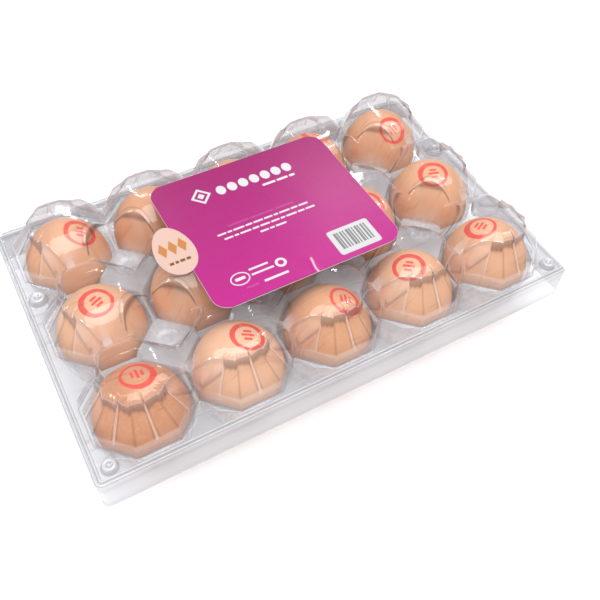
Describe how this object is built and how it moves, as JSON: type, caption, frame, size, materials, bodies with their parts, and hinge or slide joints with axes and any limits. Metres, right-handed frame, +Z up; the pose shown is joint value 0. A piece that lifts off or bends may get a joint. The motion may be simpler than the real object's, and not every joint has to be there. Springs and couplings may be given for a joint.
{
  "type": "hinged clear egg carton with eggs",
  "caption": "Clear hinged egg carton with a domed lid, a cup tray with a skirt, brown eggs and a card label on top.",
  "frame": {"origin": "centre of the bounding box, on the table plane under the cups", "axes": "+X along the rows of five eggs, +Y towards the hinge side, +Z up"},
  "size_m": [0.2474, 0.1594, 0.0663],
  "materials": {
    "film_tray": "clear thermoformed film, smooth and glossy",
    "film_lid": "clear thermoformed film, smooth and glossy",
    "egg_shell": "matt brown shell with fine pores, speckles and a red round mark",
    "label_card": "printed card, magenta with plain white and peach fields, satin"
  },
  "bodies": {
    "tray": {"tray": "film_tray", "hinge_bead": "film_tray", "egg_r1_c1": "egg_shell", "egg_r1_c2": "egg_shell", "egg_r1_c3": "egg_shell", "egg_r1_c4": "egg_shell", "egg_r1_c5": "egg_shell", "egg_r2_c1": "egg_shell", "egg_r2_c2": "egg_shell", "egg_r2_c3": "egg_shell", "egg_r2_c4": "egg_shell", "egg_r2_c5": "egg_shell", "egg_r3_c1": "egg_shell", "egg_r3_c2": "egg_shell", "egg_r3_c3": "egg_shell", "egg_r3_c4": "egg_shell", "egg_r3_c5": "egg_shell"},
    "lid": {"lid": "film_lid", "label": "label_card"}
  },
  "joints": [
    {"name": "lid_hinge", "type": "hinge", "parent": "tray", "child": "lid", "pos_m": [0, 0.07925, 0.03905], "axis": [-1, 0, 0], "range_deg": [0, 180]}
  ]
}
